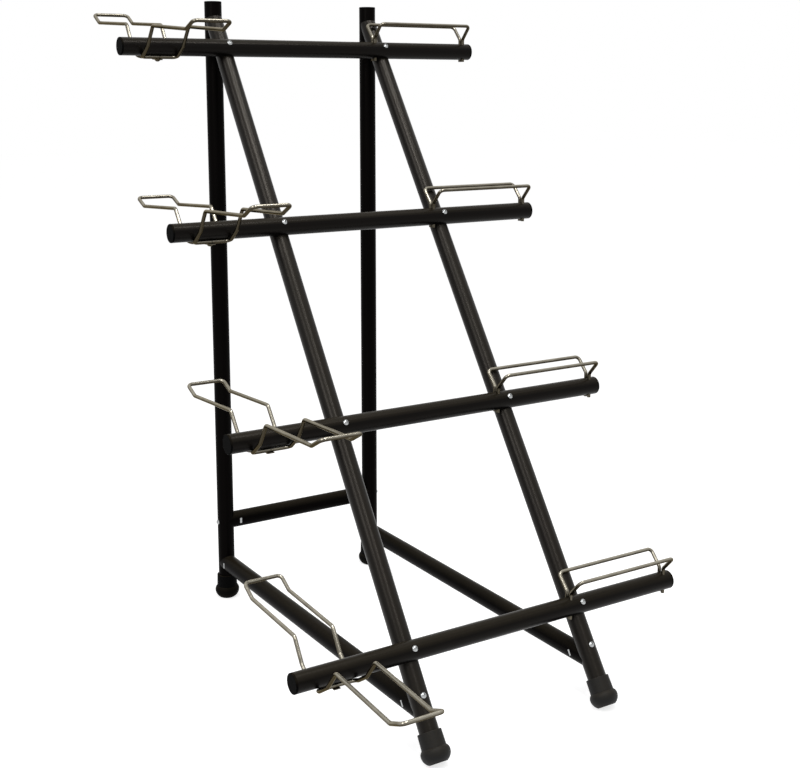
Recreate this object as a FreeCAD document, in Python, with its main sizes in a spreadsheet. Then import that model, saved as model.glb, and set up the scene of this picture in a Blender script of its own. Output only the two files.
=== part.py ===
import FreeCAD, Part
import math
import os
import Sketcher

# A free-standing tubular rack that shows small bicycles on four rising bars.
# Two upright posts, two sloping legs, four bars across the legs, two side
# stretchers and one crossbar are bolted together. Each bar carries a pair of
# wire wings for stabiliser wheels on its left and a wire cradle for the front
# wheel on its right.
# Axes: X along the bars, -Y towards the user, Z up. The origin is on the
# floor under the middle of the whole rack.

DRIVING_SIZES = [
    # frame tubes
    ("tube_diameter", 40.0, "outside diameter of every frame tube"),
    ("tube_wall", 1.5, "wall of every frame tube"),
    ("post_spacing", 416.0, "between the axes of the posts, and of the legs"),
    ("leg_floor_reach", 970.3, "post axis to leg axis, measured on the floor"),
    ("bottom_bar_height", 195.0, "floor to the axis of the lowest bar"),
    ("bar_pitch", 386.0, "height from one bar to the next"),
    ("crown_rise", 69.4, "top bar up to where the leg's axis meets the post's"),
    ("post_rise", 38.6, "that meeting point up to the top of the post caps"),
    ("bar_length", 928.0, "length of a bar over its two caps"),
    ("bar_seat_offset", 22.2, "leg axis to bar axis, square to the leg"),
    ("stretcher_height", 91.0, "floor to the axis of the side stretchers"),
    ("crossbar_height", 197.0, "floor to the axis of the rear crossbar"),
    ("cope_gap", 0.2, "gap between a coped tube and the tube it hugs"),
    # plastic caps
    ("cap_head_height", 4.0, "thickness of a cap outside its tube"),
    ("cap_edge_radius", 1.5, "rounding of a cap's rim"),
    ("cap_plug_length", 12.0, "depth of a cap inside its tube"),
    ("cap_plug_gap", 0.1, "radial gap between a plug and its tube"),
    # rubber feet
    ("foot_length", 59.0, "foot from its sole to the top of its sleeve"),
    ("foot_sleeve_diameter", 48.0, "outside of the sleeve at its top"),
    ("foot_lip_radius", 1.5, "rounding of the sleeve's top edge"),
    ("foot_neck_diameter", 49.5, "outside of the sleeve above the bulb"),
    ("foot_neck_height", 29.0, "sole to the start of the bulb"),
    ("foot_bulb_diameter", 59.0, "widest part of the bulb"),
    ("foot_bulb_height", 19.0, "sole to the widest part of the bulb"),
    ("foot_sole_diameter", 36.0, "flat of the sole"),
    ("foot_sole_thickness", 12.0, "rubber between the tube's end and the sole"),
    ("foot_bore_gap", 0.05, "radial gap between a foot and its tube"),
    ("foot_flat_depth", 1.0, "how much of a sloping foot's heel is pressed flat"),
    # bent wire, common
    ("wire_diameter", 8.0, "wire of the wings and the rails"),
    ("wire_bend_radius", 10.0, "bend radius on the wire's centre line"),
    ("wire_seat_gap", 0.1, "gap between a wing's wire and the bar it lies on"),
    # wings, measured from the bar's axis, outwards and upwards
    ("wing_end_margin", 47.0, "bar's end to a wing's outer arm"),
    ("wing_width", 82.0, "between the two arms of a wing"),
    ("wing_seat_offset", 8.8, "bar's middle to the wire under it"),
    ("wing_toe_run", 12.4, "from that wire to the first bend of a riser"),
    ("wing_knee_reach", 50.5, "knee of a riser beside the bar"),
    ("wing_knee_rise", 4.3, "height of that knee"),
    ("wing_riser_reach", 81.0, "top of a riser"),
    ("wing_riser_rise", 46.6, "height of a riser's top"),
    ("wing_arm_reach", 266.0, "outer end of an arm"),
    ("wing_arm_rise", 45.0, "height of an arm's outer end"),
    ("wing_lip_reach", 303.7, "end bar of a wing"),
    ("wing_lip_rise", 63.1, "height of the end bar"),
    ("wing_butt_gap", 1.0, "gap between the wire's two butted ends"),
    ("bottom_wing_dip", 15.9, "how far the front end of the lowest pair dips"),
    ("second_wing_dip", -12.2, "how far the front end of the second pair dips"),
    ("third_wing_dip", -14.3, "how far the front end of the third pair dips"),
    ("top_wing_dip", 18.5, "how far the front end of the top pair dips"),
    # cradle rails, measured from the bar's axis
    ("rail_end_margin", 20.5, "bar's end to a rail's outer leg"),
    ("rail_length", 260.0, "between the two legs of a rail"),
    ("rail_leg_offset", 6.0, "bar's middle to a rail's leg in the bar"),
    ("rail_bend_rise", 31.0, "bar's axis to the bend of a rail's leg"),
    ("rail_top_offset", 35.0, "bar's middle to the top of a rail"),
    ("rail_top_rise", 63.4, "bar's axis to the top of a rail"),
    ("rail_stub_length", 5.0, "rail's end below the bar"),
    ("rail_hole_gap", 0.2, "radial gap round a rail's leg in the bar"),
    # bolts, nuts and washers
    ("bolt_diameter", 6.0, "shank of every bolt and screw"),
    ("bolt_head_diameter", 12.0, "domed head"),
    ("bolt_head_height", 4.0, "height of the dome"),
    ("bolt_head_rim", 0.8, "straight rim under the dome"),
    ("bolt_tip_chamfer", 0.8, "chamfer of a bolt's tip"),
    ("bolt_socket_width", 4.0, "hexagon socket across its flats"),
    ("bolt_socket_depth", 2.4, "depth of the socket"),
    ("bolt_hole_gap", 0.3, "radial gap round a bolt in a tube wall"),
    ("bolt_seat_gap", 0.1, "gap under a head, washer or nut"),
    ("bolt_tip_length", 2.0, "bolt beyond its nut"),
    ("thread_gap", 0.05, "radial gap between a bolt and its nut"),
    ("washer_diameter", 12.5, "plain washer"),
    ("washer_thickness", 1.2, "plain washer"),
    ("nut_width", 10.0, "hexagon nut across its flats"),
    ("nut_height", 5.0, "hexagon nut"),
    ("cross_nut_width", 13.0, "flat nut bar across a tube's end"),
    ("cross_nut_thickness", 5.0, "nut bar along its bolt"),
    ("cross_nut_gap", 0.1, "gap round a nut bar in its slot"),
    ("cross_nut_recess", 0.3, "its end below the tube's surface"),
    ("leg_top_bolt_drop", 58.4, "where the axes meet down to the leg's top bolt"),
    ("stretcher_rear_nut_setback", 27.0, "post axis to the stretcher's rear nut"),
    ("stretcher_front_nut_setback", 45.0, "leg axis to the stretcher's front nut"),
    ("crossbar_nut_setback", 33.0, "post axis to the crossbar's nut"),
    # clamp under each pair of wings
    ("clamp_plate_length", 28.0, "plate that holds both wires, across them"),
    ("clamp_plate_width", 14.0, "plate that holds both wires, along them"),
    ("clamp_plate_thickness", 2.0, "plate that holds both wires"),
    ("rivet_nut_diameter", 9.0, "sleeve of the rivet nut"),
    ("rivet_flange_diameter", 9.8, "thin flange outside the bar"),
    ("rivet_flange_thickness", 0.5, "thin flange outside the bar"),
    ("rivet_bulge_diameter", 12.0, "pressed collar inside the bar"),
    ("rivet_bulge_height", 2.5, "pressed collar inside the bar"),
    ("rivet_nut_length", 12.0, "rivet nut inside the bar"),
]

doc = FreeCAD.newDocument("bike_rack")
sizes = doc.addObject("Spreadsheet::Sheet", "sizes")
for row, (alias, number, note) in enumerate(DRIVING_SIZES, start=1):
    sizes.set(f"A{row}", alias)
    sizes.set(f"B{row}", str(number))
    sizes.setAlias(f"B{row}", alias)
    sizes.set(f"C{row}", note)
doc.recompute()

X = FreeCAD.Vector(1, 0, 0)
Y = FreeCAD.Vector(0, 1, 0)
Z = FreeCAD.Vector(0, 0, 1)
nodes = []

# Places worked out from the driving sizes

tube_radius = sizes.tube_diameter / 2
wire_radius = sizes.wire_diameter / 2
half_spacing = sizes.post_spacing / 2
LEVEL_NAMES = ("bottom", "second", "third", "top")
top_level = len(LEVEL_NAMES) - 1
crown_height = sizes.bottom_bar_height + top_level * sizes.bar_pitch + sizes.crown_rise
leg_angle = math.atan(sizes.leg_floor_reach / crown_height)
leg_up = FreeCAD.Vector(0, math.sin(leg_angle), math.cos(leg_angle))
leg_front = FreeCAD.Vector(0, -math.cos(leg_angle), math.sin(leg_angle))
post_top_height = crown_height + sizes.post_rise
leg_top_bolt_height = crown_height - sizes.leg_top_bolt_drop
leg_top_nut_setback = math.tan(leg_angle) * sizes.leg_top_bolt_drop
BOTH_SIDES = (("left", -1), ("right", 1))
LEVELS = [(name, level, getattr(sizes, f"{name}_wing_dip"))
          for level, name in enumerate(LEVEL_NAMES)]
wing_left = sizes.wing_end_margin - sizes.bar_length / 2
wing_right = wing_left + sizes.wing_width
wing_middle = (wing_left + wing_right) / 2
rail_outer_x = sizes.bar_length / 2 - sizes.rail_end_margin
rail_inner_x = rail_outer_x - sizes.rail_length


def leg_back(height):
    """Distance from the post's axis forward to the leg's axis at a height."""
    return sizes.leg_floor_reach - math.tan(leg_angle) * height


def bar_height(level):
    return sizes.bottom_bar_height + level * sizes.bar_pitch


def bar_forward(level):
    """Distance from the post's axis forward to a bar's axis."""
    return leg_back(bar_height(level)) + sizes.bar_seat_offset / math.cos(leg_angle)


def wing_angle(dip):
    """How far a pair of wings is turned about its bar."""
    return math.asin(dip / sizes.wing_lip_reach)


def wing_up(dip):
    """Upwards, turned with a pair of wings and its clamp about their bar."""
    angle = wing_angle(dip)
    return FreeCAD.Vector(0, -math.sin(angle), math.cos(angle))


def wing_tip_reach(dip, side):
    """Horizontal reach of a wing's end bar: side -1 is the front wing."""
    angle = wing_angle(dip)
    along = math.cos(angle) * sizes.wing_lip_reach
    return along - side * math.sin(angle) * sizes.wing_lip_rise + wire_radius


front_edge = bar_forward(0) + wing_tip_reach(sizes.bottom_wing_dip, -1)
rear_edge = wing_tip_reach(sizes.top_wing_dip, 1) - bar_forward(top_level)
post_y = (front_edge - rear_edge) / 2


def leg_point(side, height):
    return FreeCAD.Vector(side * half_spacing, post_y - leg_back(height), height)


def post_point(side, height):
    return FreeCAD.Vector(side * half_spacing, post_y, height)


def bar_centre(level):
    return FreeCAD.Vector(0, post_y - bar_forward(level), bar_height(level))


def along(point, direction):
    """Placement that stands a shape made along Z at a point, in a direction."""
    return FreeCAD.Placement(point, FreeCAD.Rotation(Z, direction))


# Building blocks


def cylinder(name, diameter, length, point, direction):
    solid = doc.addObject("Part::Cylinder", name)
    solid.setExpression("Radius", f"({diameter}) / 2")
    solid.setExpression("Height", length)
    solid.Placement = along(point, direction)
    return solid


def drill(name, diameter, point, direction, length="sizes.tube_diameter * 2"):
    """A cylinder that cuts, centred on its point along its own axis."""
    tool = cylinder(name, diameter, length, point, direction)
    doc.recompute([tool])
    tool.Placement.Base = point - tool.Placement.Rotation.multVec(Z) * (tool.Height.Value / 2)
    return tool


def cross_box(name, length, spare, centre, across, bolt_direction):
    """A flat bar centred on a point: long across a tube, thin along its bolt."""
    box = doc.addObject("Part::Box", name)
    box.setExpression("Length", length)
    box.setExpression("Width", f"sizes.cross_nut_width + {spare}")
    box.setExpression("Height", f"sizes.cross_nut_thickness + {spare}")
    doc.recompute([box])
    turn = FreeCAD.Rotation(across, bolt_direction.cross(across), bolt_direction, "ZXY")
    half = FreeCAD.Vector(box.Length.Value, box.Width.Value, box.Height.Value) / 2
    box.Placement = FreeCAD.Placement(centre - turn.multVec(half), turn)
    return box


def slot(name, centre, across, bolt_direction):
    """Cuts the two slots of a tube that its nut bar slides through."""
    return cross_box(name, "sizes.tube_diameter * 2", NUT_GAPS, centre, across,
                     bolt_direction)


def cut(name, base, tools):
    if len(tools) == 1:
        tool = tools[0]
    else:
        tool = doc.addObject("Part::MultiFuse", f"{name}_tools")
        tool.Shapes = tools
    result = doc.addObject("Part::Cut", name)
    result.Base = base
    result.Tool = tool
    return result


def node(label, shape):
    """Marks a finished object as one sub-part under its own name."""
    shape.Label = label
    nodes.append(shape)
    return shape


def group(label, members):
    """Like fasteners kept as one sub-part, each a solid of its own."""
    compound = doc.addObject("Part::Compound", label)
    compound.Links = members
    return node(label, compound)


BOLT_HOLE = "sizes.bolt_diameter + 2 * sizes.bolt_hole_gap"
NUT_BORE = "sizes.bolt_diameter + 2 * sizes.thread_gap"
NUT_GAPS = "2 * sizes.cross_nut_gap"
COPE = "sizes.tube_diameter + 2 * sizes.cope_gap"
LONG_CUT = "sizes.tube_diameter * 4"


def tube(label, length, point, direction, tools):
    """A frame tube with its bore, copes, notches and holes."""
    outside = cylinder(f"{label}_outside", "sizes.tube_diameter", length, point, direction)
    bore = cylinder(f"{label}_bore", "sizes.tube_diameter - 2 * sizes.tube_wall", length,
                    point, direction)
    return node(label, cut(f"{label}_tube", outside, [bore] + tools))


def turned(name, outline, place):
    """A body of revolution about its own Z axis.

    Each outline entry is a radius, a height and how the next stretch runs:
    "line", "dome" for an arc centred on the axis, or the height of an arc's centre.
    """
    body = doc.addObject("PartDesign::Body", name)
    sketch = body.newObject("Sketcher::SketchObject", f"{name}_outline")
    planes = {part.Role: part for part in body.Origin.OriginFeatures}
    sketch.AttachmentSupport = (planes["XZ_Plane"], "")
    sketch.MapMode = "FlatFace"
    points = [(sizes.evalExpression(radius), sizes.evalExpression(height))
              for radius, height, run in outline]
    points = [FreeCAD.Vector(float(radius), float(height), 0) for radius, height in points]
    ends = []
    for index, (radius, height, run) in enumerate(outline):
        start = points[index]
        end = points[(index + 1) % len(points)]
        if run == "line":
            sketch.addGeometry(Part.LineSegment(start, end), False)
            ends.append((1, 2))
            continue
        chord = end - start
        if run == "dome":
            centre_height = (end.Length ** 2 - start.Length ** 2) / (2 * chord.y)
            centre = FreeCAD.Vector(0, centre_height, 0)
        else:
            centre_height = float(sizes.evalExpression(run))
            rise_start = start.y - centre_height
            rise_end = end.y - centre_height
            spread = end.x ** 2 - start.x ** 2 + rise_end ** 2 - rise_start ** 2
            centre = FreeCAD.Vector(spread / (2 * chord.x), centre_height, 0)
        arm_start = start - centre
        arm_end = end - centre
        counter_clockwise = arm_start.cross(arm_end).z > 0
        first, last = (arm_start, arm_end) if counter_clockwise else (arm_end, arm_start)
        circle = Part.Circle(centre, Z, arm_start.Length)
        first_angle = math.atan2(first.y, first.x)
        last_angle = math.atan2(last.y, last.x)
        sketch.addGeometry(Part.ArcOfCircle(circle, first_angle, last_angle), False)
        ends.append((1, 2) if counter_clockwise else (2, 1))
    for index, (radius, height, run) in enumerate(outline):
        following = (index + 1) % len(outline)
        sketch.addConstraint(Sketcher.Constraint(
            "Coincident", index, ends[index][1], following, ends[following][0]))
        pin = ends[index][0]
        if points[index].x == 0:
            sketch.addConstraint(Sketcher.Constraint("PointOnObject", index, pin, -2))
        else:
            bind(sketch, "DistanceX", index, pin, points[index].x, radius)
        if points[index].y == 0:
            sketch.addConstraint(Sketcher.Constraint("PointOnObject", index, pin, -1))
        else:
            bind(sketch, "DistanceY", index, pin, points[index].y, height)
        if run == "dome":
            sketch.addConstraint(Sketcher.Constraint("PointOnObject", index, 3, -2))
        elif run != "line":
            bind(sketch, "DistanceY", index, 3, float(sizes.evalExpression(run)), run)
    spin = body.newObject("PartDesign::Revolution", f"{name}_turned")
    spin.Profile = sketch
    spin.ReferenceAxis = (sketch, ["V_Axis"])
    spin.Angle = 360
    body.Placement = place
    return body


def bind(sketch, kind, geometry, vertex, number, expression):
    """Fixes one point of a sketch at a distance read from the sheet."""
    if number >= 0:
        constraint = Sketcher.Constraint(kind, -1, 1, geometry, vertex, number)
    else:
        constraint = Sketcher.Constraint(kind, geometry, vertex, -1, 1, -number)
        expression = f"-({expression})"
    index = sketch.addConstraint(constraint)
    name = f"{kind}_{geometry}_{vertex}"
    sketch.renameConstraint(index, name)
    sketch.setExpression(f"Constraints.{name}", expression)


# Frame tubes


def heel_drop():
    """How far a sloping foot's heel lies below the middle of its sole."""
    sole_radius = sizes.foot_sole_diameter / 2
    bulb_radius = sizes.foot_bulb_diameter / 2
    bulb_height = sizes.foot_bulb_height
    spread = bulb_radius ** 2 - sole_radius ** 2 - bulb_height ** 2
    arc_centre = spread / (2 * (bulb_radius - sole_radius))
    arc_radius = bulb_radius - arc_centre
    if arc_radius * math.cos(leg_angle) > bulb_height:
        return sole_radius * math.sin(leg_angle)
    drop = arc_radius + arc_centre * math.sin(leg_angle)
    return drop - bulb_height * math.cos(leg_angle)


post_tube_top = post_top_height - sizes.cap_head_height
post_tube_length = post_tube_top - sizes.foot_sole_thickness
sole_height = heel_drop() - sizes.foot_flat_depth
bar_tube_length = sizes.bar_length - 2 * sizes.cap_head_height


def bar_bolt_axis_point(side, level):
    """Where a bar's bolt crosses the leg's axis."""
    centre = bar_centre(level)
    centre.x = side * half_spacing
    return centre - leg_front * sizes.bar_seat_offset


def stretcher_front_nut(side):
    nut = leg_point(side, sizes.stretcher_height)
    nut.y += sizes.stretcher_front_nut_setback
    return nut


def stretcher_rear_nut(side):
    nut = post_point(side, sizes.stretcher_height)
    nut.y -= sizes.stretcher_rear_nut_setback
    return nut


def leg_top_nut(side):
    return leg_point(side, leg_top_bolt_height)


def crossbar_nut(side):
    nut = post_point(side, sizes.crossbar_height)
    nut.x -= side * sizes.crossbar_nut_setback
    return nut


for side_name, side in BOTH_SIDES:
    holes = [
        drill(f"{side_name}_post_hole_stretcher", BOLT_HOLE,
              post_point(side, sizes.stretcher_height), Y),
        drill(f"{side_name}_post_hole_leg", BOLT_HOLE,
              post_point(side, leg_top_bolt_height), Y),
        drill(f"{side_name}_post_hole_crossbar", BOLT_HOLE,
              post_point(side, sizes.crossbar_height), X),
    ]
    tube(f"{side_name}_post", f"{post_tube_length}",
         post_point(side, sizes.foot_sole_thickness), Z, holes)

for side_name, side in BOTH_SIDES:
    foot = leg_point(side, sole_height)
    start = foot + leg_up * sizes.foot_sole_thickness
    crown = post_point(side, crown_height)
    holes = [
        drill(f"{side_name}_leg_cope", COPE, crown, Z, LONG_CUT),
        drill(f"{side_name}_leg_hole_top", BOLT_HOLE,
              post_point(side, leg_top_bolt_height), Y, f"{leg_top_nut_setback * 2}"),
        slot(f"{side_name}_leg_slot", leg_top_nut(side), X, Y),
        drill(f"{side_name}_leg_hole_stretcher", BOLT_HOLE,
              stretcher_front_nut(side) + leg_front * sizes.stretcher_front_nut_setback
              * math.cos(leg_angle), leg_front),
    ]
    for level_name, level, dip in LEVELS:
        holes.append(drill(f"{side_name}_leg_hole_{level_name}", BOLT_HOLE,
                           bar_bolt_axis_point(side, level), leg_front))
    tube(f"{side_name}_leg", f"{(crown - start).Length}", start, leg_up, holes)

for level_name, level, dip in LEVELS:
    centre = bar_centre(level)
    start = centre - X * (bar_tube_length / 2)
    holes = []
    for side_name, side in BOTH_SIDES:
        axis_point = bar_bolt_axis_point(side, level)
        holes.append(drill(f"{level_name}_bar_notch_{side_name}", COPE, axis_point, leg_up,
                           LONG_CUT))
        holes.append(drill(f"{level_name}_bar_hole_{side_name}", BOLT_HOLE,
                           axis_point + leg_front * tube_radius * 2, leg_front))
    for end_name, rail_x in (("inner", rail_inner_x), ("outer", rail_outer_x)):
        for side_name, side in (("front", -1), ("rear", 1)):
            place = centre + FreeCAD.Vector(rail_x, side * sizes.rail_leg_offset, 0)
            holes.append(drill(f"{level_name}_bar_hole_{side_name}_{end_name}",
                               "sizes.wire_diameter + 2 * sizes.rail_hole_gap", place, Z))
    clamp = centre + X * wing_middle - wing_up(dip) * tube_radius
    holes.append(drill(f"{level_name}_bar_hole_clamp",
                       "sizes.rivet_nut_diameter + 2 * sizes.thread_gap", clamp,
                       wing_up(dip), "sizes.tube_diameter"))
    tube(f"{level_name}_bar", "sizes.bar_length - 2 * sizes.cap_head_height", start, X, holes)

crossbar_start = post_point(-1, sizes.crossbar_height)
crossbar_holes = []
for side_name, side in BOTH_SIDES:
    crossbar_holes.append(drill(f"crossbar_cope_{side_name}", COPE,
                                post_point(side, sizes.crossbar_height), Z))
    crossbar_holes.append(slot(f"crossbar_slot_{side_name}", crossbar_nut(side), Y, X))
tube("rear_crossbar", "sizes.post_spacing", crossbar_start, X, crossbar_holes)

for side_name, side in BOTH_SIDES:
    front = leg_point(side, sizes.stretcher_height)
    rear = post_point(side, sizes.stretcher_height)
    holes = [
        drill(f"{side_name}_stretcher_cope_rear", COPE, rear, Z),
        drill(f"{side_name}_stretcher_cope_front", COPE, front, leg_up, LONG_CUT),
        slot(f"{side_name}_stretcher_slot_rear", stretcher_rear_nut(side), X, Y),
        slot(f"{side_name}_stretcher_slot_front", stretcher_front_nut(side), X, leg_front),
    ]
    tube(f"{side_name}_stretcher", f"{(rear - front).Length}", front, Y, holes)

# Plastic caps in the bars and on the posts

CAP_OUTLINE = [
    ("0", "-sizes.cap_plug_length", "line"),
    ("sizes.tube_diameter / 2 - sizes.tube_wall - sizes.cap_plug_gap",
     "-sizes.cap_plug_length", "line"),
    ("sizes.tube_diameter / 2 - sizes.tube_wall - sizes.cap_plug_gap", "0", "line"),
    ("sizes.tube_diameter / 2", "0", "line"),
    ("sizes.tube_diameter / 2", "sizes.cap_head_height - sizes.cap_edge_radius",
     "sizes.cap_head_height - sizes.cap_edge_radius"),
    ("sizes.tube_diameter / 2 - sizes.cap_edge_radius", "sizes.cap_head_height", "line"),
    ("0", "sizes.cap_head_height", "line"),
]

for level_name, level, dip in LEVELS:
    for side_name, side in BOTH_SIDES:
        label = f"{level_name}_bar_{side_name}_cap"
        end = bar_centre(level) + X * (side * bar_tube_length / 2)
        node(label, turned(f"{label}_body", CAP_OUTLINE, along(end, X * side)))

for side_name, side in BOTH_SIDES:
    label = f"{side_name}_post_cap"
    end = post_point(side, post_tube_top)
    node(label, turned(f"{label}_body", CAP_OUTLINE, along(end, Z)))

# Rubber feet

FOOT_OUTLINE = [
    ("0", "0", "line"),
    ("sizes.foot_sole_diameter / 2", "0", "sizes.foot_bulb_height"),
    ("sizes.foot_bulb_diameter / 2", "sizes.foot_bulb_height", "sizes.foot_bulb_height"),
    ("sizes.foot_neck_diameter / 2", "sizes.foot_neck_height", "line"),
    ("sizes.foot_sleeve_diameter / 2", "sizes.foot_length - sizes.foot_lip_radius",
     "sizes.foot_length - sizes.foot_lip_radius"),
    ("sizes.foot_sleeve_diameter / 2 - sizes.foot_lip_radius", "sizes.foot_length", "line"),
    ("sizes.tube_diameter / 2 + sizes.foot_bore_gap", "sizes.foot_length", "line"),
    ("sizes.tube_diameter / 2 + sizes.foot_bore_gap", "sizes.foot_sole_thickness", "line"),
    ("0", "sizes.foot_sole_thickness", "line"),
]

for side_name, side in BOTH_SIDES:
    label = f"rear_{side_name}_foot"
    node(label, turned(f"{label}_body", FOOT_OUTLINE, along(post_point(side, 0), Z)))

for side_name, side in BOTH_SIDES:
    label = f"front_{side_name}_foot"
    blank = turned(f"{label}_body", FOOT_OUTLINE, along(leg_point(side, sole_height), leg_up))
    below = doc.addObject("Part::Box", f"{label}_floor")
    below.setExpression("Length", "sizes.foot_length * 2")
    below.setExpression("Width", "sizes.foot_length * 2")
    below.setExpression("Height", "sizes.foot_length")
    corner = leg_point(side, 0)
    below.Placement.Base = corner - FreeCAD.Vector(1, 1, 1) * sizes.foot_length
    node(label, cut(f"{label}_flat", blank, [below]))

# Bent wire


def bent_wire_path(points, radius):
    """Straight runs through the points, joined by tangent arcs."""
    edges = []
    start = points[0]
    for before, corner, after in zip(points, points[1:], points[2:]):
        towards = (before - corner).normalize()
        away = (after - corner).normalize()
        half_turn = (math.pi - towards.getAngle(away)) / 2
        setback = radius * math.tan(half_turn)
        arc_start = corner + towards * setback
        arc_end = corner + away * setback
        bisector = (towards + away).normalize()
        centre_distance = radius / math.cos(half_turn)
        arc_middle = corner + bisector * (centre_distance - radius)
        edges.append(Part.LineSegment(start, arc_start).toShape())
        edges.append(Part.Arc(arc_start, arc_middle, arc_end).toShape())
        start = arc_end
    edges.append(Part.LineSegment(start, points[-1]).toShape())
    return Part.Wire(edges)


def bent_wire(label, points):
    """A round wire swept along its bent centre line."""
    path = doc.addObject("Part::Feature", f"{label}_path")
    path.Shape = bent_wire_path(points, sizes.wire_bend_radius)
    section = doc.addObject("Part::Circle", f"{label}_section")
    section.setExpression("Radius", "sizes.wire_diameter / 2")
    section.Placement = along(points[0], points[1] - points[0])
    sweep = doc.addObject("Part::Sweep", f"{label}_wire")
    sweep.Sections = [section]
    sweep.Spine = (path, [f"Edge{number + 1}" for number in range(len(path.Shape.Edges))])
    sweep.Solid = True
    sweep.Frenet = False
    return node(label, sweep)


def wing_point(centre, dip, side, x, reach, rise):
    """A point of a wing, turned with its pair about the bar's axis."""
    angle = wing_angle(dip)
    y = side * reach
    turned_y = math.cos(angle) * y - math.sin(angle) * rise
    turned_z = math.sin(angle) * y + math.cos(angle) * rise
    return centre + FreeCAD.Vector(x, turned_y, turned_z)


# A riser leaves its seat square to the bar's radius, so it clears the bar
seat_distance = tube_radius + wire_radius + sizes.wire_seat_gap
seat_drop = math.sqrt(seat_distance ** 2 - sizes.wing_seat_offset ** 2)
toe_reach = sizes.wing_seat_offset + sizes.wing_toe_run * seat_drop / seat_distance
toe_drop = seat_drop - sizes.wing_toe_run * sizes.wing_seat_offset / seat_distance
WING_SIDE_VIEW = [
    (sizes.wing_seat_offset, -seat_drop),
    (toe_reach, -toe_drop),
    (sizes.wing_knee_reach, sizes.wing_knee_rise),
    (sizes.wing_riser_reach, sizes.wing_riser_rise),
    (sizes.wing_arm_reach, sizes.wing_arm_rise),
    (sizes.wing_lip_reach, sizes.wing_lip_rise),
]

for level_name, level, dip in LEVELS:
    for side_name, side in (("front", -1), ("rear", 1)):
        half_gap = sizes.wing_butt_gap / 2
        seat = WING_SIDE_VIEW[0]
        run = [(wing_middle - half_gap, seat)]
        run += [(wing_left, place) for place in WING_SIDE_VIEW]
        run += [(wing_right, place) for place in reversed(WING_SIDE_VIEW)]
        run += [(wing_middle + half_gap, seat)]
        points = [wing_point(bar_centre(level), dip, side, x, reach, rise)
                  for x, (reach, rise) in run]
        bent_wire(f"{level_name}_{side_name}_wing", points)

for level_name, level, dip in LEVELS:
    for side_name, side in (("front", -1), ("rear", 1)):
        stub_drop = tube_radius + sizes.rail_stub_length
        leg_view = [
            (side * sizes.rail_leg_offset, -stub_drop),
            (side * sizes.rail_leg_offset, sizes.rail_bend_rise),
            (side * sizes.rail_top_offset, sizes.rail_top_rise),
        ]
        run = [(rail_inner_x, place) for place in leg_view]
        run += [(rail_outer_x, place) for place in reversed(leg_view)]
        points = [bar_centre(level) + FreeCAD.Vector(x, y, z) for x, (y, z) in run]
        bent_wire(f"{level_name}_{side_name}_rail", points)

# Bolts, nuts and washers


def bolt(name, length, head_point, direction):
    """A domed socket bolt: head_point lies under the head, on the seat."""
    outline = [
        ("0", f"-({length})", "line"),
        ("sizes.bolt_diameter / 2 - sizes.bolt_tip_chamfer", f"-({length})", "line"),
        ("sizes.bolt_diameter / 2", f"-({length}) + sizes.bolt_tip_chamfer", "line"),
        ("sizes.bolt_diameter / 2", "0", "line"),
        ("sizes.bolt_head_diameter / 2", "0", "line"),
        ("sizes.bolt_head_diameter / 2", "sizes.bolt_head_rim", "dome"),
        ("0", "sizes.bolt_head_height", "line"),
    ]
    place = along(head_point, direction)
    blank = turned(f"{name}_blank", outline, place)
    socket = doc.addObject("Part::Prism", f"{name}_socket")
    socket.Polygon = 6
    socket.setExpression("Circumradius", "sizes.bolt_socket_width / sqrt(3)")
    socket.setExpression("Height", "sizes.bolt_head_height")
    depth = sizes.bolt_head_height - sizes.bolt_socket_depth
    socket.Placement = along(head_point + place.Rotation.multVec(Z) * depth, direction)
    return cut(name, blank, [socket])


def hex_nut(name, point, direction):
    """A hexagon nut that starts at a point and grows in a direction."""
    blank = doc.addObject("Part::Prism", f"{name}_blank")
    blank.Polygon = 6
    blank.setExpression("Circumradius", "sizes.nut_width / sqrt(3)")
    blank.setExpression("Height", "sizes.nut_height")
    blank.Placement = along(point, direction)
    bore = drill(f"{name}_bore", NUT_BORE, point, direction)
    return cut(name, blank, [bore])


def washer(name, diameter, thickness, point, direction):
    blank = cylinder(f"{name}_blank", diameter, thickness, point, direction)
    bore = drill(f"{name}_bore", BOLT_HOLE, point, direction)
    return cut(name, blank, [bore])


def clamp_plate(name, point, direction):
    """A flat plate with a hole that starts at a point and grows in a direction."""
    blank = doc.addObject("Part::Box", f"{name}_blank")
    blank.setExpression("Length", "sizes.clamp_plate_width")
    blank.setExpression("Width", "sizes.clamp_plate_length")
    blank.setExpression("Height", "sizes.clamp_plate_thickness")
    doc.recompute([blank])
    turn = FreeCAD.Rotation(X, direction.cross(X), direction, "ZXY")
    half = FreeCAD.Vector(blank.Length.Value, blank.Width.Value, 0) / 2
    blank.Placement = FreeCAD.Placement(point - turn.multVec(half), turn)
    bore = drill(f"{name}_bore", BOLT_HOLE, point, direction)
    return cut(name, blank, [bore])


def cross_nut(name, centre, across, bolt_direction):
    """A flat nut bar across a tube's end, tapped in its middle."""
    blank = cross_box(f"{name}_blank", "sizes.tube_diameter - 2 * sizes.cross_nut_recess",
                      "0", centre, across, bolt_direction)
    thread = drill(f"{name}_thread", NUT_BORE, centre, bolt_direction)
    return cut(name, blank, [thread])


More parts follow.
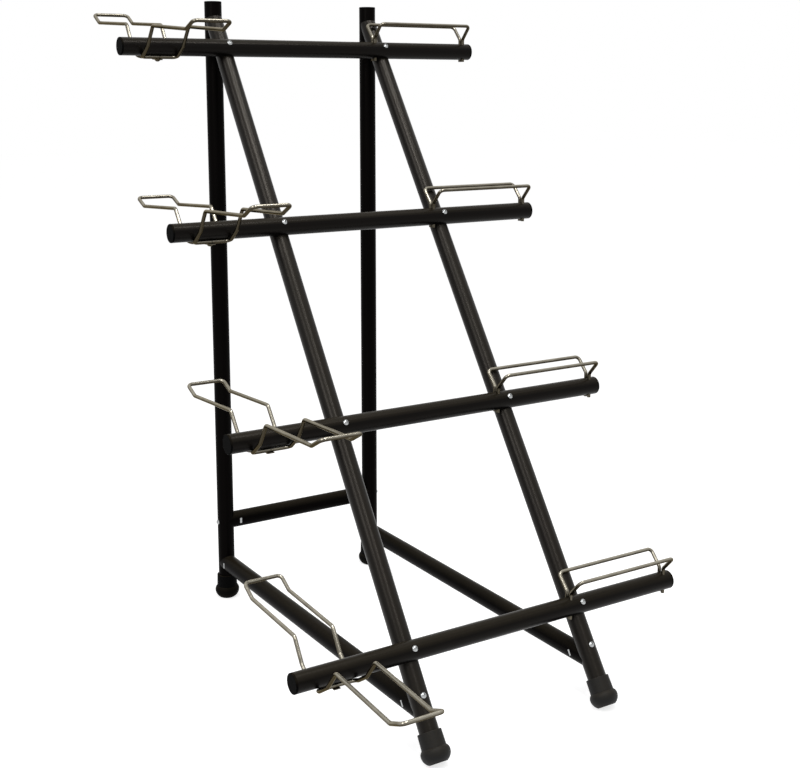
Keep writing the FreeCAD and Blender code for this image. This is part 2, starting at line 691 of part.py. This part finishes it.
bar_bolts = []
bar_washers = []
bar_nuts = []
for level_name, level, dip in LEVELS:
    for side_name, side in BOTH_SIDES:
        name = f"{level_name}_{side_name}"
        axis_point = bar_bolt_axis_point(side, level)
        head_distance = sizes.bar_seat_offset + tube_radius + sizes.bolt_seat_gap
        washer_distance = tube_radius + sizes.bolt_seat_gap
        nut_distance = washer_distance + sizes.washer_thickness + sizes.bolt_seat_gap
        reach = head_distance + nut_distance + sizes.nut_height + sizes.bolt_tip_length
        bar_bolts.append(bolt(f"{name}_bar_bolt", f"{reach}",
                              axis_point + leg_front * head_distance, leg_front))
        bar_washers.append(washer(f"{name}_bar_washer", "sizes.washer_diameter",
                                  "sizes.washer_thickness",
                                  axis_point - leg_front * washer_distance, -leg_front))
        bar_nuts.append(hex_nut(f"{name}_bar_nut",
                                axis_point - leg_front * nut_distance, -leg_front))
group("bar_bolts", bar_bolts)
group("bar_washers", bar_washers)
group("bar_nuts", bar_nuts)


def frame_joint(label, nut_centre, nut_axis, direction, seat_distance_to_nut):
    """A bolt through one tube into the nut bar in the end of another."""
    reach = seat_distance_to_nut + sizes.cross_nut_thickness / 2 + sizes.bolt_tip_length
    head = nut_centre + direction * seat_distance_to_nut
    screw = bolt(f"{label}_bolt", f"{reach}", head, direction)
    nut = cross_nut(f"{label}_nut", nut_centre, nut_axis, direction)
    return screw, nut


seat = tube_radius + sizes.bolt_seat_gap
front_nut_depth = sizes.stretcher_front_nut_setback * math.cos(leg_angle)
JOINTS = (
    ("leg_top", leg_top_nut, X, Y, leg_top_nut_setback + seat),
    ("stretcher_rear", stretcher_rear_nut, X, Y, sizes.stretcher_rear_nut_setback + seat),
    ("stretcher_front", stretcher_front_nut, X, leg_front, front_nut_depth + seat),
)
for joint_name, nut_place, nut_axis, direction, depth in JOINTS:
    pairs = [frame_joint(f"{side_name}_{joint_name}", nut_place(side), nut_axis, direction,
                         depth)
             for side_name, side in BOTH_SIDES]
    group(f"{joint_name}_bolts", [screw for screw, nut in pairs])
    group(f"{joint_name}_cross_nuts", [nut for screw, nut in pairs])

pairs = [frame_joint(f"{side_name}_crossbar", crossbar_nut(side), Y, X * side,
                     sizes.crossbar_nut_setback + seat)
         for side_name, side in BOTH_SIDES]
group("crossbar_bolts", [screw for screw, nut in pairs])
group("crossbar_cross_nuts", [nut for screw, nut in pairs])

# Clamp under each pair of wings

RIVET_NUT_OUTLINE = [
    ("sizes.bolt_diameter / 2 + sizes.thread_gap",
     "-sizes.bolt_seat_gap - sizes.rivet_flange_thickness", "line"),
    ("sizes.rivet_flange_diameter / 2",
     "-sizes.bolt_seat_gap - sizes.rivet_flange_thickness", "line"),
    ("sizes.rivet_flange_diameter / 2", "-sizes.bolt_seat_gap", "line"),
    ("sizes.rivet_nut_diameter / 2", "-sizes.bolt_seat_gap", "line"),
    ("sizes.rivet_nut_diameter / 2", "sizes.tube_wall * 2", "line"),
    ("sizes.rivet_bulge_diameter / 2", "sizes.tube_wall * 2", "line"),
    ("sizes.rivet_bulge_diameter / 2", "sizes.tube_wall * 2 + sizes.rivet_bulge_height",
     "line"),
    ("sizes.rivet_nut_diameter / 2", "sizes.tube_wall * 2 + sizes.rivet_bulge_height",
     "line"),
    ("sizes.rivet_nut_diameter / 2", "sizes.rivet_nut_length", "line"),
    ("sizes.bolt_diameter / 2 + sizes.thread_gap", "sizes.rivet_nut_length", "line"),
]

clamp_screws = []
clamp_plates = []
rivet_nuts = []
for level_name, level, dip in LEVELS:
    up = wing_up(dip)
    bar_middle = bar_centre(level) + X * wing_middle
    under_bar = bar_middle - up * tube_radius
    plate_top = bar_middle - up * (seat_drop + wire_radius + sizes.bolt_seat_gap)
    head_seat = plate_top - up * (sizes.clamp_plate_thickness + sizes.bolt_seat_gap)
    screw_length = (under_bar - head_seat).Length + sizes.rivet_nut_length
    clamp_plates.append(clamp_plate(f"{level_name}_clamp_plate", plate_top, -up))
    clamp_screws.append(bolt(f"{level_name}_clamp_screw", f"{screw_length}", head_seat, -up))
    rivet_nuts.append(turned(f"{level_name}_rivet_nut", RIVET_NUT_OUTLINE,
                             along(under_bar, up)))
group("wing_clamp_screws", clamp_screws)
group("wing_clamp_plates", clamp_plates)
group("wing_rivet_nuts", rivet_nuts)

# Checks, then one STEP file per sub-part

doc.recompute()
for item in doc.Objects:
    if "Invalid" in item.State or "Error" in item.State:
        raise RuntimeError(f"{item.Name} failed: {item.State}")
for item in nodes:
    if item.Shape.isNull() or not item.Shape.isValid():
        raise RuntimeError(f"{item.Label} has no valid shape")

for item in nodes:
    if not item.Label.endswith(("_wing", "_rail")):
        continue
    path = doc.getObject(f"{item.Label}_path")
    expected = math.pi * wire_radius ** 2 * path.Shape.Length
    if abs(item.Shape.Volume - expected) > expected / 1000:
        raise RuntimeError(f"{item.Label} isn't its wire's volume")

os.makedirs("parts", exist_ok=True)
for item in nodes:
    item.Shape.exportStep(os.path.join("parts", f"{item.Label}.step"))
    box = item.Shape.BoundBox
    print(f"{item.Label}: {len(item.Shape.Solids)} solid(s), "
          f"x {box.XMin:.1f} {box.XMax:.1f}, y {box.YMin:.1f} {box.YMax:.1f}, "
          f"z {box.ZMin:.1f} {box.ZMax:.1f}")
print(f"{len(nodes)} sub-parts")
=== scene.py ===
"""Finishes for a black tubular bicycle display rack, its studio and its camera.

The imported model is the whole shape. This file gives every piece its finish
and sets up a plain white studio round it. Run it as a script in Blender.
"""

import math

import bpy
from mathutils import Euler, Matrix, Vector

bl_info = {
    "name": "Bicycle Display Rack",
    "version": (1, 0, 0),
    "blender": (4, 5, 0),
    "location": "View3D > Sidebar > Rack",
    "description": "Finishes a tubular bicycle display rack and its studio",
    "category": "Object",
}

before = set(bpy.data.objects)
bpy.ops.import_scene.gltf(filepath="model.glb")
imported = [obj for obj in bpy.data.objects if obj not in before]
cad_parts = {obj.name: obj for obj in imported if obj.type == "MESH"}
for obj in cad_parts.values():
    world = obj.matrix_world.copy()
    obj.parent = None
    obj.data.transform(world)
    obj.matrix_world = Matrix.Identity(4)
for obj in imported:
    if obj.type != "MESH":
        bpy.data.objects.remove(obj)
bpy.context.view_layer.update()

# Names of the sub-parts, by the way they are finished. The clamps under the wings have
# the finish of the wire.

LEVELS = ("bottom", "second", "third", "top")
SIDES = ("left", "right")
DEPTHS = ("front", "rear")
LEGS = [f"{side}_leg" for side in SIDES]
BARS = [f"{level}_bar" for level in LEVELS]
BACK_TUBES = [f"{side}_{kind}" for kind in ("post", "stretcher") for side in SIDES]
BACK_TUBES += ["rear_crossbar"]
CAPS = [f"{level}_bar_{side}_cap" for level in LEVELS for side in SIDES]
CAPS += [f"{side}_post_cap" for side in SIDES]
FRONT_FEET = [f"front_{side}_foot" for side in SIDES]
REAR_FEET = [f"rear_{side}_foot" for side in SIDES]
BENT_WIRE = [f"{level}_{depth}_{kind}"
             for level in LEVELS for depth in DEPTHS for kind in ("wing", "rail")]
BENT_WIRE += ["wing_clamp_plates", "wing_clamp_screws"]
FASTENERS = [
    "bar_bolts", "bar_nuts", "bar_washers",
    "leg_top_bolts", "leg_top_cross_nuts",
    "stretcher_front_bolts", "stretcher_front_cross_nuts",
    "stretcher_rear_bolts", "stretcher_rear_cross_nuts",
    "crossbar_bolts", "crossbar_cross_nuts",
    "wing_rivet_nuts",
]

# Gloss of the coated tubes and of the feet: material, the sub-parts that have it, and
# its index of refraction. The indices start from 1.5 and come down, because the white
# studio puts more light on a satin surface than a common room does. The legs and the
# front feet get a higher index, as a painted sheen where more light falls. The posts,
# stretchers, crossbar and rear feet get a lower one, as painted shade. These are lit
# and shaded copies of one coat and of one rubber.

COATS = (
    ("front_lit_black_powder_coat", LEGS, 1.26),
    ("black_powder_coat", BARS, 1.17),
    ("back_shaded_black_powder_coat", BACK_TUBES, 1.08),
)
RUBBERS = (
    ("front_lit_moulded_rubber", FRONT_FEET, 1.28),
    ("back_shaded_moulded_rubber", REAR_FEET, 1.08),
)
CAP_REFRACTION = 1.045

# Sizes of the patterns on the real surfaces, in metres. A grain that is too fine to
# show is drawn coarser, and its line says so.

GLOSS_CLOUD = 0.09       # 90 mm, where hands have dulled a tube
DUST_PATCH = 0.006       # 6 mm patches of settled dust
SHADE_PATCH = 0.03       # 30 mm patches along a wire, over which the painted shade varies
WEAR_PATCH = 0.012       # 12 mm patches of duller plate on a wire
CAP_GRAIN = 0.0012       # drawn at 1.2 mm, spark-eroded mould grain is about 0.3 mm
RUBBER_GRAIN = 0.0015    # drawn at 1.5 mm, rubber mould grain is about 0.3 mm
ZINC_GRAIN = 0.0016      # drawn at 1.6 mm, the frost of zinc plate is about 0.2 mm

# The photograph's frame, in pixels, and the camera's sensor, in millimetres

IMAGE_WIDTH = 800
IMAGE_HEIGHT = 768
FOCAL_PIXELS = 1261.93
PRINCIPAL_X = 413.89
PRINCIPAL_Y = 299.34
SENSOR_WIDTH = 36.0

# Soft lamps: place, the point each faces, width and length in metres, and its share
# of the power

LAMPS = (
    ("top_lamp", (-0.45, -0.7, 3.0), (-0.45, -0.7, 0), 0.45, 0.8, 0.25),
    ("front_lamp", (-0.55, -2.6, 3.0), (-0.4, -1.0, 0), 0.45, 1.8, 0.3),
    ("bar_lamp", (0.45, -0.35, 3.0), (0.45, -0.35, 0), 0.6, 0.35, 0.13),
    ("left_high_lamp", (-2.1, -0.25, 2.85), (-0.2, 0.3, 1.2), 0.8, 0.7, 0.16),
    ("left_low_lamp", (-2.1, -1.1, 1.85), (-0.2, -0.2, 0.5), 0.8, 0.7, 0.16),
)


def linear(hex_colour):
    """sRGB hex such as "#1c1b1a" to linear red, green and blue."""
    shades = [int(hex_colour[place:place + 2], 16) / 255 for place in (1, 3, 5)]
    return [shade / 12.92 if shade <= 0.04045 else ((shade + 0.055) / 1.055) ** 2.4
            for shade in shades]


def add_node(tree, kind, inputs=None, stops=(), **settings):
    """Adds one node with its settings, its ramp's stops and its inputs.

    An input takes a value, a socket, or a node, whose first output it links.
    """
    made = tree.nodes.new(kind)
    for name, value in settings.items():
        setattr(made, name, value)
    for number, (position, colour) in enumerate(stops):
        made.color_ramp.elements[number].position = position
        made.color_ramp.elements[number].color = (*colour, 1.0)
    for name, value in (inputs or {}).items():
        if isinstance(value, bpy.types.Node):
            value = value.outputs[0]
        if isinstance(value, bpy.types.NodeSocket):
            tree.links.new(value, made.inputs[name])
        else:
            made.inputs[name].default_value = value
    return made


def new_material(name):
    """A node material with nothing in it yet."""
    material = bpy.data.materials.new(name)
    material.use_nodes = True
    material.node_tree.nodes.clear()
    return material, material.node_tree


def finish_pieces(names, material, look):
    """Ends a material with its shader and puts it on sub-parts."""
    shader = add_node(material.node_tree, "ShaderNodeBsdfPrincipled", look)
    add_node(material.node_tree, "ShaderNodeOutputMaterial", {"Surface": shader})
    for name in names:
        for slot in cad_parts[name].material_slots:
            slot.material = material


def facing_up(tree):
    """How far a surface faces up: 1 for a level top, and -1 for an underside."""
    normal = add_node(tree, "ShaderNodeNewGeometry").outputs["Normal"]
    return add_node(tree, "ShaderNodeSeparateXYZ", {"Vector": normal}).outputs["Z"]


def seen_directly(tree):
    """1 for the view and for clear reflections, and 0 for light on surfaces."""
    path = add_node(tree, "ShaderNodeLightPath")
    seen = path.outputs["Is Camera Ray"]
    for ray in ("Is Glossy Ray", "Is Transmission Ray"):
        seen = add_node(tree, "ShaderNodeMath", {0: seen, 1: path.outputs[ray]},
                        operation="MAXIMUM")
    return seen


class RackFinishes(bpy.types.PropertyGroup):
    """Colours of the rack's finishes and the size of its orange peel."""

    coat_colour: bpy.props.FloatVectorProperty(
        name="Powder coat", description="Black polyester powder coat of the tubes",
        subtype="COLOR", size=3, min=0, max=1, default=linear("#050404"))
    coat_glint: bpy.props.FloatVectorProperty(
        name="Coat highlight", description="Warm tint of the powder coat's highlight",
        subtype="COLOR", size=3, min=0, max=1, default=linear("#fff6ea"))
    coat_peel: bpy.props.FloatProperty(
        name="Orange peel", description="Width of the coat's orange peel",
        unit="LENGTH", default=0.0022, min=0.0002)
    # Paler colour for dust. On the upper sides of the coat and the feet it also stands
    # for a painted sheen.
    dust_and_sheen_colour: bpy.props.FloatVectorProperty(
        name="Dust", description="Fine dust, and painted sheen, on upper sides",
        subtype="COLOR", size=3, min=0, max=1, default=linear("#211d16"))
    cap_colour: bpy.props.FloatVectorProperty(
        name="Caps", description="Black moulded polyethylene",
        subtype="COLOR", size=3, min=0, max=1, default=linear("#070707"))
    rubber_colour: bpy.props.FloatVectorProperty(
        name="Feet", description="Black moulded rubber",
        subtype="COLOR", size=3, min=0, max=1, default=linear("#080808"))
    # Plate colour of the wire. The ramp also uses it as the painted highlight on top.
    wire_colour: bpy.props.FloatVectorProperty(
        name="Wire", description="Bright zinc plate on the bent wire",
        subtype="COLOR", size=3, min=0, max=1, default=linear("#b0ab9d"))
    wire_edge: bpy.props.FloatVectorProperty(
        name="Wire edge", description="Tint of the bent wire where it turns away",
        subtype="COLOR", size=3, min=0, max=1, default=linear("#c8c2b6"))
    # Painted shade on the bent wire's lower sides.
    wire_shade_colour: bpy.props.FloatVectorProperty(
        name="Wire shade", description="Painted brown shade on the bent wire's lower sides",
        subtype="COLOR", size=3, min=0, max=1, default=linear("#39342a"))
    zinc_colour: bpy.props.FloatVectorProperty(
        name="Fasteners", description="Blue-white zinc plate on bolts and nuts",
        subtype="COLOR", size=3, min=0, max=1, default=linear("#a9abab"))
    zinc_frost: bpy.props.FloatProperty(
        name="Frost", description="Share of the zinc's colour left in its dull grain",
        subtype="FACTOR", default=0.75, min=0, max=1)


class RackStudio(bpy.types.PropertyGroup):
    """Camera, floor and lamps."""

    camera_place: bpy.props.FloatVectorProperty(
        name="Camera place", description="Camera's position", subtype="TRANSLATION",
        unit="LENGTH", size=3, default=(-1.4278, -2.3221, 1.2722))
    camera_heading: bpy.props.FloatProperty(
        name="Heading", description="Turn about the vertical from looking along +Y",
        subtype="ANGLE", default=math.radians(-32.4167))
    camera_tilt: bpy.props.FloatProperty(
        name="Tilt", description="Angle between the view and straight down",
        subtype="ANGLE", default=math.radians(80.3135))
    camera_roll: bpy.props.FloatProperty(
        name="Roll", description="Turn about the view's own axis",
        subtype="ANGLE", default=math.radians(-0.0701))
    floor_size: bpy.props.FloatProperty(
        name="Floor", description="Side of the square floor", unit="LENGTH",
        default=40.0, min=2.0)
    floor_colour: bpy.props.FloatVectorProperty(
        name="Floor colour", description="Pale studio floor", subtype="COLOR",
        size=3, min=0, max=1, default=linear("#d9d9d9"))
    floor_lift: bpy.props.FloatProperty(
        name="Floor lift", description="White that the view adds to the floor",
        subtype="FACTOR", default=0.71, min=0, max=1)
    lamp_power: bpy.props.FloatProperty(
        name="Lamps", description="Power of all the soft lamps together, in watts",
        default=88.0, min=0)
    ambient: bpy.props.FloatProperty(
        name="Ambient", description="Brightness of the studio's walls",
        default=0.42, min=0)


class RACK_OT_place_camera(bpy.types.Operator):
    """Stand the camera where the photograph was taken"""

    bl_idname = "rack.place_camera"
    bl_label = "Place Camera"

    def execute(self, context):
        studio = context.scene.rack_studio
        data = bpy.data.cameras.new("camera")
        data.sensor_width = SENSOR_WIDTH
        data.lens = FOCAL_PIXELS / IMAGE_WIDTH * SENSOR_WIDTH
        data.shift_x = (IMAGE_WIDTH / 2 - PRINCIPAL_X) / IMAGE_WIDTH
        data.shift_y = (PRINCIPAL_Y - IMAGE_HEIGHT / 2) / IMAGE_WIDTH
        camera = bpy.data.objects.new("camera", data)
        camera.location = studio.camera_place
        camera.rotation_euler = Euler(
            (studio.camera_tilt, studio.camera_roll, studio.camera_heading))
        context.collection.objects.link(camera)
        context.scene.camera = camera
        return {"FINISHED"}


class RACK_OT_coat_tubes(bpy.types.Operator):
    """Give posts, legs, bars, stretchers and crossbar their powder coat"""

    bl_idname = "rack.coat_tubes"
    bl_label = "Coat Tubes"

    def execute(self, context):
        for name, tubes, refraction in COATS:
            self.coat(context.scene.rack_finishes, name, tubes, refraction)
        return {"FINISHED"}

    def coat(self, finishes, name, tubes, refraction):
        """Puts a powder coat of one gloss on some of the tubes."""
        # Polyester powder, sprayed and baked: deep black with a soft highlight.
        material, tree = new_material(name)
        place = add_node(tree, "ShaderNodeTexCoord").outputs["Object"]
        # Orange peel of the baked powder, about 2 mm wide, breaks up the highlight.
        peel = add_node(tree, "ShaderNodeTexNoise", {
            "Vector": place, "Scale": 1 / finishes.coat_peel, "Detail": 1.5})
        bump = add_node(tree, "ShaderNodeBump", {
            "Height": peel, "Strength": 0.1, "Distance": 0.0004})
        # Slow changes of gloss along a tube keep the highlight from looking drawn.
        cloud = add_node(tree, "ShaderNodeTexNoise", {
            "Vector": place, "Scale": 1 / GLOSS_CLOUD, "Detail": 3.0})
        roughness = add_node(tree, "ShaderNodeMapRange", {
            "Value": cloud, "To Min": 0.3, "To Max": 0.35})
        # Fine dust lies on upper sides as a thin brownish bloom, in small patches.
        # The same paler colour on upper sides is also a painted sheen.
        upward = add_node(tree, "ShaderNodeMapRange", {
            "Value": facing_up(tree), "From Min": 0.1})
        spots = add_node(tree, "ShaderNodeTexNoise", {
            "Vector": place, "Scale": 1 / DUST_PATCH, "Detail": 4.0, "Roughness": 0.7})
        patches = add_node(tree, "ShaderNodeMapRange", {
            "Value": spots, "To Min": 0.75, "To Max": 1.25})
        dust_and_sheen = add_node(tree, "ShaderNodeMath", {0: upward, 1: patches},
                        operation="MULTIPLY")
        # Black below, and paler on upper sides as dust and painted sheen.
        colour = add_node(tree, "ShaderNodeValToRGB", {"Fac": dust_and_sheen}, stops=(
            (0.25, finishes.coat_colour), (1.0, finishes.dust_and_sheen_colour)))
        finish_pieces(tubes, material, {
            "Base Color": colour, "Roughness": roughness, "Normal": bump,
            "IOR": refraction, "Specular Tint": (*finishes.coat_glint, 1.0)})


class RACK_OT_finish_caps(bpy.types.Operator):
    """Give the tube caps their moulded plastic"""

    bl_idname = "rack.finish_caps"
    bl_label = "Finish Caps"

    def execute(self, context):
        finishes = context.scene.rack_finishes
        # Polyethylene from a spark-eroded mould: matt, faintly speckled, thinly dusted.
        material, tree = new_material("moulded_polyethylene_cap")
        place = add_node(tree, "ShaderNodeTexCoord").outputs["Object"]
        grain = add_node(tree, "ShaderNodeTexNoise", {
            "Vector": place, "Scale": 1 / CAP_GRAIN, "Detail": 3.0})
        bump = add_node(tree, "ShaderNodeBump", {
            "Height": grain, "Strength": 0.25, "Distance": 0.0002})
        roughness = add_node(tree, "ShaderNodeMapRange", {
            "Value": grain, "To Min": 0.42, "To Max": 0.6})
        upward = add_node(tree, "ShaderNodeMapRange", {
            "Value": facing_up(tree), "From Min": 0.05, "To Max": 0.8})
        spots = add_node(tree, "ShaderNodeTexNoise", {
            "Vector": place, "Scale": 1 / DUST_PATCH, "Detail": 3.0})
        dust_and_sheen = add_node(tree, "ShaderNodeMath", {0: upward, 1: spots},
                        operation="MULTIPLY")
        colour = add_node(tree, "ShaderNodeValToRGB", {"Fac": dust_and_sheen}, stops=(
            (0.0, finishes.cap_colour), (0.6, finishes.dust_and_sheen_colour)))
        finish_pieces(CAPS, material, {
            "Base Color": colour, "Roughness": roughness, "Normal": bump,
            "IOR": CAP_REFRACTION})
        return {"FINISHED"}


class RACK_OT_finish_feet(bpy.types.Operator):
    """Give the feet their rubber"""

    bl_idname = "rack.finish_feet"
    bl_label = "Finish Feet"

    def execute(self, context):
        for name, feet, refraction in RUBBERS:
            self.mould(context.scene.rack_finishes, name, feet, refraction)
        return {"FINISHED"}

    def mould(self, finishes, name, feet, refraction):
        """Puts rubber of one gloss on some of the feet."""
        # Rubber with carbon black, moulded: a wide soft gloss, dusty near the floor.
        material, tree = new_material(name)
        place = add_node(tree, "ShaderNodeTexCoord").outputs["Object"]
        grain = add_node(tree, "ShaderNodeTexNoise", {
            "Vector": place, "Scale": 1 / RUBBER_GRAIN, "Detail": 2.0})
        bump = add_node(tree, "ShaderNodeBump", {
            "Height": grain, "Strength": 0.2, "Distance": 0.0002})
        bloom = add_node(tree, "ShaderNodeTexNoise", {
            "Vector": place, "Scale": 1 / DUST_PATCH, "Detail": 4.0, "Roughness": 0.6})
        roughness = add_node(tree, "ShaderNodeMapRange", {
            "Value": bloom, "To Min": 0.5, "To Max": 0.7})
        # Dust gathers in the lowest 30 mm. Upper sides take the same paler colour, as
        # dust and a painted sheen.
        height = add_node(tree, "ShaderNodeSeparateXYZ", {"Vector": place}).outputs["Z"]
        near_floor = add_node(tree, "ShaderNodeMapRange", {
            "Value": height, "From Max": 0.03, "To Min": 0.4, "To Max": 0.0})
        upward = add_node(tree, "ShaderNodeMapRange", {
            "Value": facing_up(tree), "From Min": 0.05})
        floor_dust_and_top_sheen = add_node(tree, "ShaderNodeMath", {0: near_floor, 1: upward},
                           operation="MAXIMUM")
        dust_and_sheen = add_node(tree, "ShaderNodeMath", {0: floor_dust_and_top_sheen, 1: bloom},
                        operation="MULTIPLY")
        colour = add_node(tree, "ShaderNodeValToRGB", {"Fac": dust_and_sheen}, stops=(
            (0.0, finishes.rubber_colour), (0.6, finishes.dust_and_sheen_colour)))
        finish_pieces(feet, material, {
            "Base Color": colour, "Roughness": roughness, "Normal": bump,
            "IOR": refraction})


class RACK_OT_finish_wire(bpy.types.Operator):
    """Give the wings, their clamps and the rails their bright plate"""

    bl_idname = "rack.finish_wire"
    bl_label = "Finish Bent Wire"

    def execute(self, context):
        finishes = context.scene.rack_finishes
        # Drawn steel, bent and zinc plated. It is painted lighter on top as a highlight
        # and olive brown below as painted shade.
        material, tree = new_material("bright_zinc_wire")
        place = add_node(tree, "ShaderNodeTexCoord").outputs["Object"]
        wear = add_node(tree, "ShaderNodeTexNoise", {
            "Vector": place, "Scale": 1 / WEAR_PATCH, "Detail": 3.0})
        roughness = add_node(tree, "ShaderNodeMapRange", {
            "Value": wear, "To Min": 0.16, "To Max": 0.24})
        upward = add_node(tree, "ShaderNodeMapRange", {
            "Value": facing_up(tree), "From Min": -1.0})
        uneven_shade = add_node(tree, "ShaderNodeTexNoise", {
            "Vector": place, "Scale": 1 / SHADE_PATCH, "Detail": 4.0, "Roughness": 0.6})
        patches = add_node(tree, "ShaderNodeMapRange", {
            "Value": uneven_shade, "To Min": 0.7, "To Max": 1.15})
        lit_share = add_node(tree, "ShaderNodeMath", {0: upward, 1: patches},
                         operation="MULTIPLY")
        # Ramp from painted shade below to the lit plate on top: painted light and
        # shade, uneven in 30 mm patches.
        colour = add_node(tree, "ShaderNodeValToRGB", {"Fac": lit_share}, stops=(
            (0.42, finishes.wire_shade_colour), (1.0, finishes.wire_colour)))
        finish_pieces(BENT_WIRE, material, {
            "Base Color": colour, "Roughness": roughness, "Metallic": 1.0,
            "Specular Tint": (*finishes.wire_edge, 1.0)})
        return {"FINISHED"}


class RACK_OT_finish_fasteners(bpy.types.Operator):
    """Give bolts, nuts and washers their zinc"""

    bl_idname = "rack.finish_fasteners"
    bl_label = "Finish Fasteners"

    def execute(self, context):
        finishes = context.scene.rack_finishes
        # Blue-white zinc plate on steel: bright, with a fine frosted grain.
        material, tree = new_material("zinc_plated_fastener")
        place = add_node(tree, "ShaderNodeTexCoord").outputs["Object"]
        grain = add_node(tree, "ShaderNodeTexNoise", {
            "Vector": place, "Scale": 1 / ZINC_GRAIN, "Detail": 3.0})
        roughness = add_node(tree, "ShaderNodeMapRange", {
            "Value": grain, "To Min": 0.2, "To Max": 0.36})
        dull = [shade * finishes.zinc_frost for shade in finishes.zinc_colour]
        colour = add_node(tree, "ShaderNodeValToRGB", {"Fac": grain}, stops=(
            (0.35, dull), (0.6, finishes.zinc_colour)))
        finish_pieces(FASTENERS, material, {
            "Base Color": colour, "Roughness": roughness, "Metallic": 1.0})
        return {"FINISHED"}


class RACK_OT_build_stage(bpy.types.Operator):
    """Lay the pale floor, light the walls and hang the lamps"""

    bl_idname = "rack.build_stage"
    bl_label = "Build Stage"

    def execute(self, context):
        studio = context.scene.rack_studio
        self.lay_floor(context, studio)
        self.light_walls(context, studio)
        for lamp in LAMPS:
            self.hang_lamp(context, studio, *lamp)
        context.scene.view_settings.view_transform = "Standard"
        return {"FINISHED"}

    def lay_floor(self, context, studio):
        """A matt white floor, which the view sees as the white background."""
        mesh = bpy.data.meshes.new("studio_floor")
        half = studio.floor_size / 2
        corners = [(x * half, y * half, 0)
                   for x, y in ((-1, -1), (1, -1), (1, 1), (-1, 1))]
        mesh.from_pydata(corners, [], [(0, 1, 2, 3)])
        floor = bpy.data.objects.new("studio_floor", mesh)
        context.collection.objects.link(floor)
        material, tree = new_material("studio_floor_paint")
        paint = add_node(tree, "ShaderNodeBsdfDiffuse", {
            "Color": (*studio.floor_colour, 1.0)})
        lift = add_node(tree, "ShaderNodeMath", {
            0: seen_directly(tree), 1: studio.floor_lift}, operation="MULTIPLY")
        white = add_node(tree, "ShaderNodeEmission", {"Strength": lift})
        both = add_node(tree, "ShaderNodeAddShader", {0: paint, 1: white})
        add_node(tree, "ShaderNodeOutputMaterial", {"Surface": both})
        mesh.materials.append(material)

    def light_walls(self, context, studio):
        """White behind the rack, and a soft even light from the walls."""
        world = bpy.data.worlds.new("studio_walls")
        context.scene.world = world
        world.use_nodes = True
        tree = world.node_tree
        tree.nodes.clear()
        strength = add_node(tree, "ShaderNodeMapRange", {
            "Value": seen_directly(tree), "To Min": studio.ambient})
        wall = add_node(tree, "ShaderNodeBackground", {
            "Color": (1.0, 1.0, 1.0, 1.0), "Strength": strength})
        add_node(tree, "ShaderNodeOutputWorld", {"Surface": wall})

    def hang_lamp(self, context, studio, name, place, target, width, length, share):
        """A rectangular soft lamp that faces a point."""
        data = bpy.data.lights.new(name, "AREA")
        data.shape = "RECTANGLE"
        data.size = width
        data.size_y = length
        data.energy = studio.lamp_power * share
        lamp = bpy.data.objects.new(name, data)
        lamp.location = place
        aim = Vector(target) - Vector(place)
        lamp.rotation_euler = aim.to_track_quat("-Z", "Y").to_euler()
        context.collection.objects.link(lamp)


OPERATORS = (
    RACK_OT_place_camera,
    RACK_OT_coat_tubes,
    RACK_OT_finish_caps,
    RACK_OT_finish_feet,
    RACK_OT_finish_wire,
    RACK_OT_finish_fasteners,
    RACK_OT_build_stage,
)


class RACK_PT_panel(bpy.types.Panel):
    """The rack's finishes, studio and build steps"""

    bl_idname = "RACK_PT_panel"
    bl_label = "Bicycle Display Rack"
    bl_space_type = "VIEW_3D"
    bl_region_type = "UI"
    bl_category = "Rack"

    def draw(self, context):
        column = self.layout.column()
        for settings in (context.scene.rack_finishes, context.scene.rack_studio):
            for name in settings.bl_rna.properties.keys():
                if name not in ("rna_type", "name"):
                    column.prop(settings, name)
        for operator in OPERATORS:
            column.operator(operator.bl_idname)


CLASSES = (RackFinishes, RackStudio, *OPERATORS, RACK_PT_panel)


def register():
    for item in CLASSES:
        bpy.utils.register_class(item)
    bpy.types.Scene.rack_finishes = bpy.props.PointerProperty(type=RackFinishes)
    bpy.types.Scene.rack_studio = bpy.props.PointerProperty(type=RackStudio)


def unregister():
    del bpy.types.Scene.rack_studio
    del bpy.types.Scene.rack_finishes
    for item in reversed(CLASSES):
        bpy.utils.unregister_class(item)


def main():
    register()
    for operator in OPERATORS:
        group, name = operator.bl_idname.split(".")
        getattr(getattr(bpy.ops, group), name)()


if __name__ == "__main__":
    main()
